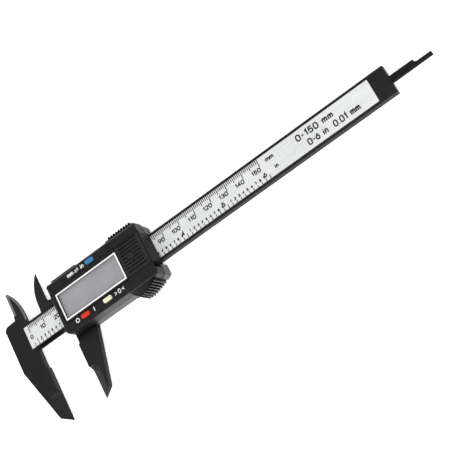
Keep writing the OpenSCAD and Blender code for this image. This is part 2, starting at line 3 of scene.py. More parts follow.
import bmesh
import bpy
from mathutils import Matrix, Vector


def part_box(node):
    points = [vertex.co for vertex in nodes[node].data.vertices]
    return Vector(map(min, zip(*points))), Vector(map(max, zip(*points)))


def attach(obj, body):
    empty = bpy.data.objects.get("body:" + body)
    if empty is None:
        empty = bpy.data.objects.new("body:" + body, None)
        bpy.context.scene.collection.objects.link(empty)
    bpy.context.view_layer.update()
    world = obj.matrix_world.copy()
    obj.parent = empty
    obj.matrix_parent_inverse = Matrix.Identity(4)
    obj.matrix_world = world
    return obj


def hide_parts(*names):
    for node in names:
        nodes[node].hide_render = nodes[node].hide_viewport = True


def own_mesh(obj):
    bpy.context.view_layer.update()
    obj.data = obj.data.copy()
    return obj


# Looks of the digital caliper. Places and sizes on it are in millimetres, in the CAD part's frame,
# and MM scales them where geometry and materials are made. The camera, the lights, the floor and
# the materials' fine detail are in metres: a noise's scale is the number of its waves in a metre.

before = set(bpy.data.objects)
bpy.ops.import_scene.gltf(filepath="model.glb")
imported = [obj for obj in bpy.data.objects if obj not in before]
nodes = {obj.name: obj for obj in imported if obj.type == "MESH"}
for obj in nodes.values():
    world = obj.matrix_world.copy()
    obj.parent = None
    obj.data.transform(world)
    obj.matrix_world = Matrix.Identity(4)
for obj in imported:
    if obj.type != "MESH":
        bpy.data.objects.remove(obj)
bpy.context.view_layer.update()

MM = 0.001
X, Y, Z = 0, 1, 2


# ---------- positions taken from the CAD part ----------

def box_mm(node):
    """Lowest and highest corner of a CAD node, in millimetres."""
    lo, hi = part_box(node)
    return [c / MM for c in lo], [c / MM for c in hi]


def middle_y(node):
    lo, hi = box_mm(node)
    return (lo[Y] + hi[Y]) / 2


label_lo, label_hi = box_mm("scale_label")
window_lo, window_hi = box_mm("display_window")
cover_front = box_mm("front_cover")[1][Z]
ground_z = box_mm("back_plate")[0][Z]


# ---------- camera ----------

FOCAL_LENGTH = 99.76
SENSOR_WIDTH = 36.0
LENS_SHIFT_X = -0.0011
LENS_SHIFT_Y = 0.0011
CAMERA_PLACE = (0.306223, -0.228361, 0.526800)
CAMERA_RIGHT = (0.774018, -0.438701, -0.456550)
CAMERA_BACK = (0.312276, -0.362762, 0.878002)


def make_camera():
    data = bpy.data.cameras.new("camera")
    data.lens = FOCAL_LENGTH
    data.sensor_width = SENSOR_WIDTH
    data.shift_x = LENS_SHIFT_X
    data.shift_y = LENS_SHIFT_Y
    data.clip_start = 0.05
    data.clip_end = 10.0
    data.dof.use_dof = False
    obj = bpy.data.objects.new("camera", data)
    bpy.context.scene.collection.objects.link(obj)
    right = Vector(CAMERA_RIGHT).normalized()
    back = Vector(CAMERA_BACK).normalized()
    up = back.cross(right).normalized()
    right = up.cross(back)
    m = Matrix((right, up, back)).transposed().to_4x4()
    m.translation = Vector(CAMERA_PLACE)
    obj.matrix_world = m
    bpy.context.scene.camera = obj


# ---------- node helpers ----------

class Nodes:
    """Short spelling for building a material's node tree."""

    def __init__(self, name):
        self.mat = bpy.data.materials.new(name)
        self.mat.use_nodes = True
        self.tree = self.mat.node_tree
        self.tree.nodes.clear()
        self.out = self.tree.nodes.new("ShaderNodeOutputMaterial")
        coordinates = self.tree.nodes.new("ShaderNodeTexCoord").outputs
        self.coord = coordinates["Object"]
        self.normal = coordinates["Normal"]

    def new(self, kind, inputs=None, **settings):
        """A node; inputs are values or sockets to link, by name or number."""
        n = self.tree.nodes.new(kind)
        for k, v in settings.items():
            setattr(n, k, v)
        for k, v in (inputs or {}).items():
            if isinstance(v, bpy.types.NodeSocket):
                self.tree.links.new(v, n.inputs[k])
            else:
                n.inputs[k].default_value = v
        return n

    def mapped(self, scale, rotation=(0, 0, 0)):
        """The piece's coordinates, stretched and turned."""
        return self.new("ShaderNodeMapping", {"Vector": self.coord, "Scale": scale,
                                              "Rotation": rotation}).outputs[0]

    def noise(self, scale, detail, rough, vector=None):
        return self.new("ShaderNodeTexNoise", {
            "Vector": self.coord if vector is None else vector,
            "Scale": scale, "Detail": detail, "Roughness": rough}).outputs["Fac"]

    def ramp(self, value, lo, hi, out_lo, out_hi):
        """out_lo at lo, out_hi at hi, straight between them and level beyond."""
        return self.new("ShaderNodeMapRange", {
            "Value": value, "From Min": lo, "From Max": hi,
            "To Min": out_lo, "To Max": out_hi}).outputs[0]

    def mix(self, factor, a, b):
        """Colour a where factor is 0 and b where it is 1."""
        n = self.new("ShaderNodeMix", data_type="RGBA")
        for socket, v in ((n.inputs[0], factor), (n.inputs[6], a), (n.inputs[7], b)):
            if isinstance(v, bpy.types.NodeSocket):
                self.tree.links.new(v, socket)
            else:
                socket.default_value = v
        return n.outputs[2]

    def math(self, op, a, b=0.0):
        return self.new("ShaderNodeMath", {0: a, 1: b}, operation=op).outputs[0]

    def times(self, a, b):
        return self.math("MULTIPLY", a, b)

    def vector_math(self, op, *vectors):
        return self.new("ShaderNodeVectorMath", dict(enumerate(vectors)), operation=op).outputs[0]

    def part(self, vector, axis):
        """The x, y or z of a vector."""
        return self.new("ShaderNodeSeparateXYZ", {0: vector}).outputs[axis]

    def bump(self, height, strength, distance, normal=None):
        inputs = {"Height": height, "Strength": strength, "Distance": distance}
        if normal is not None:
            inputs["Normal"] = normal
        return self.new("ShaderNodeBump", inputs).outputs[0]

    def finish(self, **inputs):
        """Ends the tree in a Principled shader; an input's name has _ for its spaces."""
        named = {k.replace("_", " "): v for k, v in inputs.items()}
        s = self.new("ShaderNodeBsdfPrincipled", named)
        self.tree.links.new(s.outputs[0], self.out.inputs[0])
        return self.mat


def grey(v):
    return (v, v, v, 1.0)


# ---------- materials ----------

# Painted shade: the colour that it darkens towards, and how far and over which share of open sky the
# painted shade in grooves and inner corners reaches.
NEAR_BLACK = grey(0.001)
CREASE_SHADE_REACH = 0.0016
CREASE_SHADE_SPAN = (0.42, 0.88)
DULL_GLOSS = 0.3


def moulded_plastic(name, dark, light, rough=0.42, grain=1.0, edge=0.00012, gloss=0.5, hollow=0.0,
                    draft=0.0, wall_gloss=1.0, dull=None, painted_light_colour=None, shade=None):
    """Moulded plastic: cloudy colour with pale scuffs, fine spark-eroded grain and softened edges,
    with painted shade and painted light in some places.

    dark, light: the two tones; rough: mean roughness; grain: strength of the relief; edge: radius
    of the softened edges; gloss: how much the surface mirrors; hollow: how much painted shade darkens
    grooves and inner corners; draft: z added to the normals of the side walls, as if they leaned;
    wall_gloss: gloss of the side walls against the rest; dull: a function that says where the
    plastic is less glossy and takes painted_light_colour, a lighter colour painted in as light;
    shade: one that gives the share of light by place, painted into the colour as shade.
    """
    n = Nodes(name)
    cloud = n.noise(90, 4.0, 0.65)
    fine = n.noise(4200, 2.0, 0.5)
    scuff = n.noise(1.0, 5.0, 0.7, n.mapped((260, 1900, 700), (0, 0, 0.5)))
    colour = n.mix(n.ramp(cloud, 0.3, 0.7, 0, 1), dark, light)
    flecks = n.ramp(scuff, 0.62, 0.8, 0, 0.35)
    pale = tuple(min(1, c * 1.6 + 0.01) for c in light[:3]) + (1,)
    colour = n.mix(flecks, colour, pale)
    mottle = n.math("ADD", n.times(cloud, 0.6), n.times(fine, 0.4))
    roughness = n.ramp(mottle, 0.3, 0.7, rough - 0.06, rough + 0.08)
    soft = n.new("ShaderNodeBevel", {"Radius": edge}, samples=4).outputs[0]
    level = gloss
    if draft:
        up = n.math("ABSOLUTE", n.part(soft, Z))
        wall = n.ramp(up, 0.3, 0.1, 0, 1)
        level = n.ramp(wall, 0, 1, gloss, gloss * wall_gloss)
        tilt = n.new("ShaderNodeCombineXYZ", {Z: n.times(wall, draft)}).outputs[0]
        soft = n.vector_math("NORMALIZE", n.vector_math("ADD", soft, tilt))
    relief = n.bump(fine, 0.22 * grain, 0.00004, soft)
    relief = n.bump(scuff, 0.05 * grain, 0.00003, relief)
    # Painted light: in these places the colour is replaced by a lighter one, and the gloss is lowered.
    if dull:
        where = dull(n)
        level = n.times(level, n.ramp(where, 0, 1, 1, DULL_GLOSS))
        colour = n.mix(where, colour, painted_light_colour)
    # Painted shade in grooves and inner corners: where ambient occlusion finds little open sky, the colour
    # is darkened towards near black and the gloss lowered.
    if hollow:
        open_sky = n.new("ShaderNodeAmbientOcclusion", {"Distance": CREASE_SHADE_REACH}, samples=8).outputs["AO"]
        level = n.times(level, n.ramp(open_sky, *CREASE_SHADE_SPAN, 1 - hollow, 1))
        colour = n.mix(n.ramp(open_sky, *CREASE_SHADE_SPAN, hollow, 0), colour, NEAR_BLACK)
    # Painted shade by place: the share darkens the colour towards near black and lowers the gloss.
    if shade:
        share = shade(n)
        level = n.times(level, share)
        colour = n.mix(share, NEAR_BLACK, colour)
    return n.finish(Base_Color=colour, Roughness=roughness, Normal=relief, Specular_IOR_Level=level)


def printed_foil():
    """Silvery scale foil: fine speckle over a faint lengthwise brushing."""
    n = Nodes("scale_foil")
    speck = n.noise(2600, 2.0, 0.6)
    cloud = n.noise(60, 3.0, 0.5)
    brushed = n.noise(1.0, 2.0, 0.6, n.mapped((70, 5200, 70)))
    broad = n.math("ADD", n.times(brushed, 0.3), n.times(cloud, 0.15))
    tone = n.math("ADD", n.times(speck, 0.55), broad)
    colour = n.mix(n.ramp(tone, 0.36, 0.64, 0, 1), (0.62, 0.63, 0.635, 1), (0.93, 0.935, 0.94, 1))
    return n.finish(Base_Color=colour, Roughness=n.ramp(brushed, 0.3, 0.7, 0.36, 0.5), Metallic=0.25,
                    Normal=n.bump(speck, 0.12, 0.00002))


def ink(name, colour, rough=0.5):
    """Screen-printed ink with a slightly uneven coat."""
    n = Nodes(name)
    coat = n.noise(3000, 2.0, 0.6)
    wear = n.noise(700, 4.0, 0.7)
    lighter = tuple(min(1, c + 0.015) for c in colour[:3]) + (1,)
    tone = n.mix(n.ramp(wear, 0.45, 0.75, 0, 1), colour, lighter)
    return n.finish(Base_Color=tone, Roughness=n.ramp(coat, 0.3, 0.7, rough - 0.08, rough + 0.1),
                    Normal=n.bump(coat, 0.15, 0.00001))


def metal(name, colour, rough=0.3, brush=(400, 6000, 400), relief=0.15):
    """Rolled or plated metal with fine brushing and a few dull patches."""
    n = Nodes(name)
    lines = n.noise(1.0, 3.0, 0.6, n.mapped(brush))
    patch = n.noise(300, 3.0, 0.6)
    dull = tuple(c * 0.78 for c in colour[:3]) + (1,)
    tone = n.mix(n.ramp(patch, 0.4, 0.7, 0, 1), colour, dull)
    return n.finish(Base_Color=tone, Metallic=1.0, Normal=n.bump(lines, relief, 0.00002),
                    Roughness=n.ramp(lines, 0.3, 0.7, rough - 0.07, rough + 0.12))


def lcd_face():
    """Switched-off reflective display: grey polariser film with a faint mottle."""
    n = Nodes("lcd_face")
    cloud = n.noise(45, 3.0, 0.5)
    film = n.noise(2200, 2.0, 0.6)
    mottle = n.math("ADD", n.times(cloud, 0.7), n.times(film, 0.3))
    tone = n.mix(n.ramp(mottle, 0.35, 0.65, 0, 1), (0.342, 0.328, 0.345, 1), (0.385, 0.369, 0.388, 1))
    return n.finish(Base_Color=tone, Roughness=n.ramp(film, 0.3, 0.7, 0.34, 0.44),
                    Normal=n.bump(film, 0.06, 0.00002))


def clear_window():
    """Clear flat window: lets the display show and mirrors more at a low angle."""
    n = Nodes("clear_window")
    smear = n.noise(120, 4.0, 0.6)
    gloss = n.new("ShaderNodeBsdfGlossy", {
        "Color": grey(1.0), "Roughness": n.ramp(smear, 0.35, 0.7, 0.05, 0.16)}).outputs[0]
    tint = n.mix(n.ramp(smear, 0.3, 0.7, 0, 1), (0.95, 0.96, 0.97, 1), (0.985, 0.99, 0.995, 1))
    clear = n.new("ShaderNodeBsdfTransparent", {"Color": tint}).outputs[0]
    low_angle = n.new("ShaderNodeLayerWeight", {"Blend": 0.5}).outputs["Facing"]
    mirror = n.ramp(n.math("POWER", low_angle, 4.0), 0, 1, 0.035, 0.6)
    mixed = n.new("ShaderNodeMixShader", {0: mirror, 1: clear, 2: gloss})
    n.tree.links.new(mixed.outputs[0], n.out.inputs[0])
    return n.mat


def board_green():
    """Circuit board: solder mask over a glass weave."""
    n = Nodes("board_green")
    weave = n.new("ShaderNodeTexBrick", {
        "Vector": n.coord, "Scale": 900.0, "Mortar Size": 0.03, "Mortar Smooth": 0.4,
        "Color1": (0.012, 0.10, 0.035, 1), "Color2": (0.014, 0.115, 0.04, 1),
        "Mortar": (0.02, 0.16, 0.06, 1)})
    mask = n.noise(500, 3.0, 0.6)
    return n.finish(Base_Color=weave.outputs["Color"], Normal=n.bump(mask, 0.1, 0.00003),
                    Roughness=n.ramp(mask, 0.3, 0.7, 0.25, 0.4), Coat_Weight=0.3)


def mottled(name, a, b, rough):
    """Two-tone material for small inner pieces."""
    n = Nodes(name)
    grain = n.noise(900, 3.0, 0.6)
    return n.finish(Base_Color=n.mix(n.ramp(grain, 0.35, 0.65, 0, 1), a, b),
                    Normal=n.bump(grain, 0.1, 0.00003), Metallic=0.0,
                    Roughness=n.ramp(grain, 0.3, 0.7, rough - 0.05, rough + 0.1))


# ---------- places on the pieces where light and shade are painted ---

# In millimetres, at rest. A pair is where the change of tone starts and where it is complete.
HEAD_LOW_Y = -14.9
JAW_Y = (HEAD_LOW_Y + 0.05, HEAD_LOW_Y - 0.2)
JAW_X = (44.0, 41.0)
JAW_LIT_Y = (HEAD_LOW_Y - 0.3, HEAD_LOW_Y - 4.5)
FINGER_RIBS_X = (59, 60)
FINGER_RIBS_Y = (17.5, 17.8)
HEAD_END_X = (66, 68)
BEAM_LOW_Y = (-6.9, -7.2)
BETWEEN_JAWS_LEFT_X = (0.2, 1.2)
BETWEEN_JAWS_RIGHT_X = (22, 15)
INSIDE_JAW_X = (-7.2, -6.8)
INSIDE_JAW_Y = (8.3, 8.9)
GRIP_Y = (-15.1, -15.3)


def along(n, axis, change):
    """Rises from 0 to 1 over a change of place along one axis of the piece."""
    start, end = change
    return n.ramp(n.part(n.coord, axis), start * MM, end * MM, 0, 1)


def leaning(n, steep, flat):
    """1 on faces whose normal's z is between steep and flat, 0 on the others."""
    up = n.part(n.normal, Z)
    return n.times(n.ramp(up, steep, steep + 0.05, 0, 1), n.ramp(up, flat - 0.03, flat, 1, 0))


def share_of_light(n, where, share):
    """share in a place and 1 elsewhere."""
    return n.ramp(where, 0, 1, 1, share)


def moving_jaw(n):
    """1 on the moving outside jaw, 0 on the rest of the slider; the body's material paints the jaw
    lighter.
    """
    return n.times(along(n, Y, JAW_Y), along(n, X, JAW_X))


def jaw_shade(n):
    """Painted shade on the moving jaw: a painted shadow close to the case, and darker side walls and
    bevels.
    """
    jaw = moving_jaw(n)
    near = n.times(jaw, n.ramp(along(n, Y, JAW_LIT_Y), 0, 1, 1, 0))
    bevel = n.times(jaw, leaning(n, 0.6, 0.78))
    side = n.times(jaw, leaning(n, -0.15, 0.2))
    edges = n.times(share_of_light(n, bevel, 0.75), share_of_light(n, side, 0.3))
    return n.times(share_of_light(n, near, 0.25), edges)


def end_shade(n):
    """Painted shade: the walls that face the head's right end are darker."""
    facing = n.ramp(n.part(n.normal, X), 0.35, 0.75, 0, 1)
    return share_of_light(n, n.times(facing, along(n, X, HEAD_END_X)), 0.58)


def body_shade(n):
    """Painted shade on the slider body: on its jaw, at its end and on the small finger ribs at the top."""
    ribs = n.times(along(n, Y, FINGER_RIBS_Y), along(n, X, FINGER_RIBS_X))
    return n.times(end_shade(n), n.times(jaw_shade(n), share_of_light(n, ribs, 0.12)))


def between_jaws(n):
    """Painted shadow on the beam's lower edge between the jaws."""
    span = n.times(along(n, X, BETWEEN_JAWS_LEFT_X), along(n, X, BETWEEN_JAWS_RIGHT_X))
    return share_of_light(n, n.times(along(n, Y, BEAM_LOW_Y), span), 0.06)


def inside_bevels(n):
    """The bevels of the fixed inside jaw, which the beam's material paints as a pale highlight."""
    place = n.times(along(n, Y, INSIDE_JAW_Y), along(n, X, INSIDE_JAW_X))
    return n.times(place, leaning(n, 0.1, 0.97))


def grip_slope(n):
    """The sloped front of the thumb grip, which the case's material paints lighter."""
    return n.times(along(n, Y, GRIP_Y), leaning(n, 0.8, 0.97))


# ---------- which material each piece has ----------

def coloured_button(name, dark, light):
    return moulded_plastic(name, dark, light, rough=0.36, grain=0.5, edge=0.0002)


# Painted light on the grip's sloped front; painted shade on the walls that face the head's end and in
# grooves.
black_case = moulded_plastic("black_case", grey(0.004), grey(0.0065), rough=0.40, hollow=0.95,
                             dull=grip_slope, painted_light_colour=grey(0.042), shade=end_shade)
# Painted light on the moving jaw; painted shade on the jaw, at the body's end, on the finger ribs and in
# grooves.
black_body = moulded_plastic("black_body", grey(0.006), grey(0.009), hollow=0.95, draft=-0.16,
                             wall_gloss=2.0, dull=moving_jaw, painted_light_colour=grey(0.016),
                             shade=body_shade)
# Painted shade on the walls that face the head's end and in grooves.
black_door = moulded_plastic("black_door", grey(0.019), grey(0.025), gloss=0.2, hollow=0.72,
                             shade=end_shade)
# Painted highlight on the inside jaw's bevels; painted shadow between the jaws and in grooves.
black_beam = moulded_plastic("black_beam", grey(0.014), grey(0.020), gloss=0.10, hollow=0.8,
                             dull=inside_bevels, painted_light_colour=grey(0.15), shade=between_jaws)
black_rod = moulded_plastic("black_rod", grey(0.010), grey(0.013), rough=0.40, grain=0.8, gloss=0.1,
                            draft=-0.01, wall_gloss=0.2)
black_margin = moulded_plastic("black_margin", grey(0.004), grey(0.0065), rough=0.40, grain=0.5)
black_ink = ink("black_ink", grey(0.004))
white_ink = ink("white_ink", grey(0.86), 0.45)
steel = metal("steel", (0.58, 0.58, 0.60, 1))
screw_steel = metal("screw_steel", (0.50, 0.50, 0.52, 1), 0.32, (900, 900, 900), 0.1)

LOOKS = {
    "beam": black_beam, "slider_body": black_body, "front_cover": black_case,
    "back_plate": black_case, "battery_cover": black_door, "depth_rod": black_rod,
    "scale_label": printed_foil(),
    "scale_strip": metal("strip_copper", (0.62, 0.36, 0.16, 1), 0.35),
    "end_stop": steel, "gib_spring": steel,
    "end_stop_screws": screw_steel, "case_screws": screw_steel,
    "rod_screw": screw_steel, "board_screws": screw_steel,
    "display_window": clear_window(),
    "lcd_glass": lcd_face(),
    "lcd_frame": mottled("frame_white", (0.66, 0.66, 0.63, 1), (0.74, 0.74, 0.71, 1), 0.4),
    "zebra_strips": mottled("rubber_pink", (0.62, 0.34, 0.40, 1), (0.72, 0.42, 0.47, 1), 0.65),
    "main_board": board_green(),
    "chip_cap": mottled("chip_epoxy", grey(0.008), grey(0.014), 0.25),
    "capacitors": mottled("capacitor_ceramic", (0.42, 0.32, 0.18, 1), (0.52, 0.42, 0.26, 1), 0.5),
    "battery": metal("cell_steel", (0.66, 0.66, 0.68, 1), 0.22, (1500, 1500, 200), 0.08),
    "contact_positive": metal("contact_gold", (0.78, 0.62, 0.32, 1), 0.28),
    "contact_negative": metal("contact_nickel", (0.66, 0.65, 0.60, 1), 0.28),
    "button_units": coloured_button("blue_button", (0.030, 0.175, 0.375, 1), (0.044, 0.215, 0.435, 1)),
    "button_power": coloured_button("red_button", (0.59, 0.026, 0.009, 1), (0.67, 0.038, 0.013, 1)),
    "button_zero": coloured_button("yellow_button", (0.70, 0.71, 0.47, 1), (0.76, 0.765, 0.52, 1)),
}


def dress(name, material):
    obj = nodes[name]
    if not obj.material_slots:
        obj.data.materials.append(material)
    for slot in obj.material_slots:
        slot.material = material


for name, material in LOOKS.items():
    dress(name, material)


# ---------- geometry helpers ----------

def mesh_object(name, verts, faces, material, body):
    """A piece from points in millimetres."""
    mesh = bpy.data.meshes.new(name)
    mesh.from_pydata([(x * MM, y * MM, z * MM) for x, y, z in verts], [], faces)
    bm = bmesh.new()
    bm.from_mesh(mesh)
    bmesh.ops.recalc_face_normals(bm, faces=bm.faces)
    bm.to_mesh(mesh)
    bm.free()
    mesh.materials.append(material)
    obj = bpy.data.objects.new(name, mesh)
    bpy.context.scene.collection.objects.link(obj)
    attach(obj, body)
    return obj


def curve(cx, cy, rx, ry, a0, a1, n):
    """Points on an ellipse from angle a0 to angle a1, in degrees, in n steps."""
    return [(cx + rx * math.cos(math.radians(a0 + (a1 - a0) * i / n)),
             cy + ry * math.sin(math.radians(a0 + (a1 - a0) * i / n))) for i in range(n + 1)]


def loop(x0, x1, y0, y1, r):
    """Closed rounded rectangle, corner radius as a share of its width."""
    rx = (x1 - x0) * r
    ry = min(rx, (y1 - y0) / 2)
    return (curve(x1 - rx, y0 + ry, rx, ry, -90, 0, 4) + curve(x1 - rx, y1 - ry, rx, ry, 0, 90, 4)
            + curve(x0 + rx, y1 - ry, rx, ry, 90, 180, 4) + curve(x0 + rx, y0 + ry, rx, ry, 180, 270, 4))


# ---------- snap domes ----------

DOME_SHEET = 0.1
# divisions round the dome and from its crown to its foot
DOME_TURNS = 36
DOME_STEPS = 7


def dome_profile(radius, height):
    """Radius and height of each ring of the sheet, from the crown out, round the foot and back in."""
    slopes = [math.radians(90 * k / DOME_STEPS) for k in range(1, DOME_STEPS)]
    rise = height - DOME_SHEET
    crown = [(radius * math.sin(a), DOME_SHEET + rise * math.cos(a)) for a in slopes]
    foot = [(radius, DOME_SHEET), (radius, 0), (radius - DOME_SHEET, 0)]
    hollow = [((radius - DOME_SHEET) * math.sin(a), rise * math.cos(a)) for a in slopes]
    return crown + foot + hollow[::-1]


def snap_dome(which):
    """A dome of thin spring steel on the board, made at rest; a pressed button would flatten it."""
    node = "dome_" + which
    lo, hi = box_mm(node)
    cx = (lo[X] + hi[X]) / 2
    cy = (lo[Y] + hi[Y]) / 2
    profile = dome_profile((hi[X] - lo[X]) / 2, hi[Z] - lo[Z])
    angles = [2 * math.pi * i / DOME_TURNS for i in range(DOME_TURNS)]
    verts = [(cx, cy, hi[Z])]
    for r, z in profile:
        verts += [(cx + r * math.cos(a), cy + r * math.sin(a), lo[Z] + z) for a in angles]
    verts.append((cx, cy, hi[Z] - DOME_SHEET))
    last = len(verts) - 1
    faces = []
    for i in range(DOME_TURNS):
        j = (i + 1) % DOME_TURNS
        faces.append((0, 1 + i, 1 + j))
        faces.append((last, last - DOME_TURNS + j, last - DOME_TURNS + i))
        for k in range(len(profile) - 1):
            a, b = 1 + k * DOME_TURNS, 1 + (k + 1) * DOME_TURNS
            faces.append((a + i, b + i, b + j, a + j))
    dome = mesh_object("snap_" + node, verts, faces, steel, "slider")
    for face in dome.data.polygons:
        face.use_smooth = True
    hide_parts(node)
    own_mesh(dome)


for which in ("units", "power", "zero"):
    snap_dome(which)


# ---------- print made of strokes ----------

# half the ink's thickness, and the small steps in height that keep crossing strokes apart
INK_HALF = 0.012
LIFT = 0.0008
LIFTS = 7
# the smallest cosine at which a corner is still drawn to its point
SHARPEST_MITRE = 0.35


class Print:
    """Collects thin printed strokes, each a closed sliver of ink on a flat face."""

    def __init__(self, z):
        self.z0, self.z1 = z - INK_HALF, z + INK_HALF
        self.verts, self.faces = [], []
        self.count = 0

    def ring(self, left, right, closed=False):
        """Ink between two lines of points of the same length; crossing strokes differ in height."""
        base, n = len(self.verts), len(left)
        self.count += 1
        lift = LIFT * (self.count % LIFTS)
        for side in (left, right):
            for z in (self.z0 - lift, self.z1 + lift):
                self.verts += [(p[0], p[1], z) for p in side]
        l0, l1, r0, r1 = (base + k * n for k in range(4))
        steps = n if closed else n - 1
        for i in range(steps):
            j = (i + 1) % n
            self.faces += [(l1 + i, l1 + j, r1 + j, r1 + i), (l0 + i, r0 + i, r0 + j, l0 + j),
                           (l0 + i, l0 + j, l1 + j, l1 + i), (r0 + i, r1 + i, r1 + j, r0 + j)]
        if not closed:
            for i in (0, n - 1):
                self.faces.append((l0 + i, l1 + i, r1 + i, r0 + i))

    def stroke(self, points, width, closed=False):
        """A line of constant width along the points, with mitred corners."""
        pts = [Vector(p) for p in points]
        n = len(pts)
        left, right = [], []
        for i, p in enumerate(pts):
            before = (p - pts[i - 1]).normalized() if closed or i > 0 else None
            after = (pts[(i + 1) % n] - p).normalized() if closed or i < n - 1 else None
            a = before if before is not None else after
            b = after if after is not None else before
            na, nb = Vector((-a.y, a.x)), Vector((-b.y, b.x))
            m = na + nb
            if m.length < 1e-6:
                m = na.copy()
            m.normalize()
            h = width / 2 / max(SHARPEST_MITRE, m.dot(na))
            left.append(p + m * h)
            right.append(p - m * h)
        self.ring(left, right, closed)

    def bar(self, x0, x1, y0, y1):
        self.ring([(x0, y1), (x1, y1)], [(x0, y0), (x1, y0)])

    def glyphs(self, text, x, y, letters, anchor="left"):
        """Digits and unit letters as strokes; anchor left, right or centre; y is the base line."""
        height, aspect, width, gap = letters
        widths = [GLYPHS[c][0] * height * aspect for c in text]
        total = sum(widths) + gap * (len(text) - 1)
        x -= {"left": 0, "right": total, "centre": total / 2}[anchor]
        for c, w in zip(text, widths):
            for closed, line in GLYPHS[c][1]:
                self.stroke([(x + u * height * aspect, y + v * height) for u, v in line], width, closed)
            x += w + gap

    def make(self, name, material, body, slot):
        return mesh_object(name, self.verts, self.faces, material, body)


# glyph: (width, [(closed, points in a box of height 1)])
GLYPHS = {
    "0": (0.8, [(True, loop(0.04, 0.76, 0, 1, 0.42))]),
    "1": (0.5, [(False, [(0.1, 0.74), (0.38, 1), (0.38, 0)])]),
    "2": (0.8, [(False, curve(0.4, 0.7, 0.35, 0.3, 165, -30, 8) + [(0.04, 0), (0.78, 0)])]),
    "3": (0.8, [(False, curve(0.38, 0.75, 0.33, 0.25, 160, -80, 7)
                 + curve(0.38, 0.27, 0.38, 0.27, 80, -160, 8))]),
    "4": (0.8, [(False, [(0.58, 0), (0.58, 1), (0.02, 0.3), (0.8, 0.3)])]),
    "5": (0.8, [(False, [(0.72, 1), (0.14, 1), (0.08, 0.52)]
                 + curve(0.38, 0.32, 0.37, 0.32, 130, -155, 9))]),
    "6": (0.8, [(False, [(0.6, 1), (0.16, 0.56)] + curve(0.4, 0.32, 0.36, 0.32, 150, -210, 12))]),
    "7": (0.76, [(False, [(0.02, 1), (0.74, 1), (0.28, 0)])]),
    "8": (0.8, [(True, curve(0.4, 0.76, 0.3, 0.24, -90, 252, 11)),
                (True, curve(0.4, 0.26, 0.36, 0.26, 90, 432, 11))]),
    "9": (0.8, [(False, [(0.2, 0), (0.64, 0.44)] + curve(0.4, 0.68, 0.36, 0.32, -30, -390, 12))]),
    "-": (0.5, [(False, [(0.05, 0.45), (0.45, 0.45)])]),
    ".": (0.2, [(False, [(0.1, 0), (0.1, 0.12)])]),
    " ": (0.4, []),
    "m": (0.9, [(False, [(0.05, 0), (0.05, 0.7)]),
                (False, [(0.05, 0.5)] + curve(0.25, 0.5, 0.2, 0.2, 180, 0, 6) + [(0.45, 0)]),
                (False, [(0.45, 0.5)] + curve(0.65, 0.5, 0.2, 0.2, 180, 0, 6) + [(0.85, 0)])]),
    "i": (0.2, [(False, [(0.1, 0), (0.1, 0.68)]), (False, [(0.1, 0.86), (0.1, 1.0)])]),
    "n": (0.6, [(False, [(0.05, 0), (0.05, 0.7)]),
                (False, [(0.05, 0.45)] + curve(0.3, 0.45, 0.25, 0.25, 180, 0, 6) + [(0.55, 0)])]),
}

# letters: height, width against the glyph's own, stroke, gap between two letters
MM_DIGITS = (1.9, 1.0, 0.56, 0.5)
MM_NOUGHT = (1.9, 0.95, 0.56, 0.3)
INCH_DIGITS = (2.1, 0.85, 0.6, 0.2)
TENTH_DIGITS = (1.1, 0.85, 0.46, 0.2)
MM_MARK = (2.1, 1.05, 0.55, 0.35)
INCH_MARK = (1.9, 0.95, 0.55, 0.4)
RANGE_TOP_ROW = (2.9, 0.95, 0.72, 0.79)
RANGE_LOW_ROW = (2.9, 0.85, 0.72, 0.59)
HEAD_MM_MARK = (2.1, 0.9, 0.4, 0.3)
HEAD_INCH_MARK = (2.1, 0.9, 0.4, 0.4)
HEAD_NOUGHT = (2.0, 0.85, 0.36, 0.3)


# ---------- printed scale on the beam ----------

ZERO_X = -0.73
INCH = 25.4
LAST_MM = 150
LAST_TENTH = 60
EDGE_GAP = 0.02
MM_LINE_WIDTH = 0.46
TEN_MM_LENGTH = 4.2
FIVE_MM_LENGTH = 2.9
ONE_MM_LENGTH = 2.0
INCH_LINE_WIDTH = 0.4
INCH_LENGTH = 2.2
TENTH_LENGTH = 1.4

# where a number stands: x from its line, and y of its base line
NOUGHT_AT = (-0.2, -1.4)
MM_DIGITS_AT = (-0.35, 0.0)
TENTH_DIGITS_AT = (-0.35, -4.3)
INCH_DIGITS_AT = (-2.0, -3.9)

# left end and base line of the marks right of the scale
MM_MARK_AT = (153.4, 2.1)
INCH_MARK_AT = (155.9, -3.3)
RANGE_TOP_AT = (171.4, 1.1)
RANGE_LOW_AT = (175.8, -3.9)


def make_beam_print(drawn, name):
    drawn.make(name, black_ink, "beam", "scale_print")


def print_lines():
    """The scale's lines: millimetres from the foil's upper edge, tenths of an inch from its lower."""
    ticks = Print(label_hi[Z])
    top = label_hi[Y]
    for i in range(LAST_MM + 1):
        x = ZERO_X + i
        length = TEN_MM_LENGTH if i % 10 == 0 else FIVE_MM_LENGTH if i % 5 == 0 else ONE_MM_LENGTH
        ticks.bar(x - MM_LINE_WIDTH / 2, x + MM_LINE_WIDTH / 2, top - length, top - EDGE_GAP)
    make_beam_print(ticks, "scale_ticks_mm")

    inch_ticks = Print(label_hi[Z])
    low = label_lo[Y]
    for i in range(LAST_TENTH + 1):
        x = ZERO_X + i * INCH / 10
        length = INCH_LENGTH if i % 10 == 0 else TENTH_LENGTH
        inch_ticks.bar(x - INCH_LINE_WIDTH / 2, x + INCH_LINE_WIDTH / 2, low + EDGE_GAP, low + length)
    make_beam_print(inch_ticks, "scale_ticks_inch")


